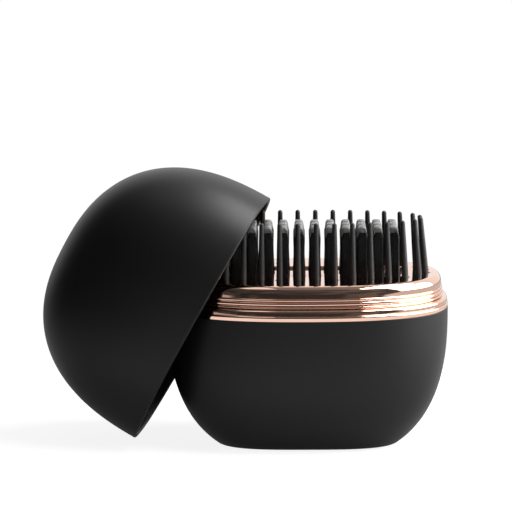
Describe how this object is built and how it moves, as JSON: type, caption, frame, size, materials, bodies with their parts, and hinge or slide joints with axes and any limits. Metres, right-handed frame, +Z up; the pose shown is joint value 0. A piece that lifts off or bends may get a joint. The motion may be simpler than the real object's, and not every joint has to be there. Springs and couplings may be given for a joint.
{
  "type": "hair straightening brush",
  "caption": "Palm-size egg-shaped hair straightening brush: waisted heated teeth ringed by guard pins on a beaded collar, matt black shell, lift-off cap leaning beside it.",
  "frame": {"origin": "centre of the flat foot, on the surface that the brush stands on", "axes": "+X along the egg's long side towards the end away from the cap, +Y to the back with the power button, +Z up through the teeth"},
  "size_m": [0.1383, 0.0682, 0.0929],
  "materials": {
    "shell_black": "fine matt moulding",
    "rose_gold": "polished rose-gold plating",
    "rose_gold_metal": "polished rose-gold plating",
    "tooth_black": "smooth black coating",
    "pin_black": "heat-resistant moulding with a soft sheen",
    "clip_grey": "slightly clear silicone",
    "lining_dark": "satin moulding",
    "rubber_black": "matt rubber",
    "screw_steel": "plain steel",
    "cell_sleeve": "plain shrink sleeve",
    "holder_grey": "plain moulding",
    "shield_sheet": "thin sheet",
    "board_green": "coated board",
    "chip_black": "moulded",
    "socket_steel": "drawn shell",
    "light_clear": "clear moulding",
    "button_black": "satin moulding",
    "heater_ceramic": "foil-wrapped ceramic"
  },
  "bodies": {
    "base": {"lower_shell": "shell_black", "foot_pad": "rubber_black", "case_screws": "screw_steel", "battery_cells": "cell_sleeve", "battery_holder": "holder_grey", "inner_frame": "holder_grey", "frame_screws": "screw_steel", "heat_shield": "shield_sheet", "shield_screws": "screw_steel", "control_board": "board_green", "board_chips": "chip_black", "usb_socket": "socket_steel", "usb_tongue": "chip_black", "tact_switch": "chip_black", "status_leds": "light_clear", "light_guide": "light_clear", "collar": "rose_gold", "seal_ring": "rubber_black", "comb_plate": "rose_gold_metal", "heating_teeth": "tooth_black", "tooth_tips": "clip_grey", "guard_pins": "pin_black", "pin_carrier": "pin_black", "heater_frame": "holder_grey", "heater_screws": "screw_steel", "ptc_heaters": "heater_ceramic", "heater_clamp": "shield_sheet", "thermal_fuse": "socket_steel", "thermistor": "chip_black"},
    "button": {"power_button": "button_black", "switch_plunger": "chip_black"},
    "cap": {"cap_shell": "shell_black", "cap_lining": "lining_dark"}
  },
  "joints": [
    {"name": "power_press", "type": "slide", "parent": "base", "child": "button", "axis": [0, -1, 0], "range_m": [0, 0.001], "stiffness_N_per_m": 600, "springref_m": -0.001},
    {"name": "cap_lift", "type": "slide", "parent": "base", "child": "cap", "axis": [-0.8678, 0.109, 0.4847], "range_m": [0, 0.12]}
  ]
}
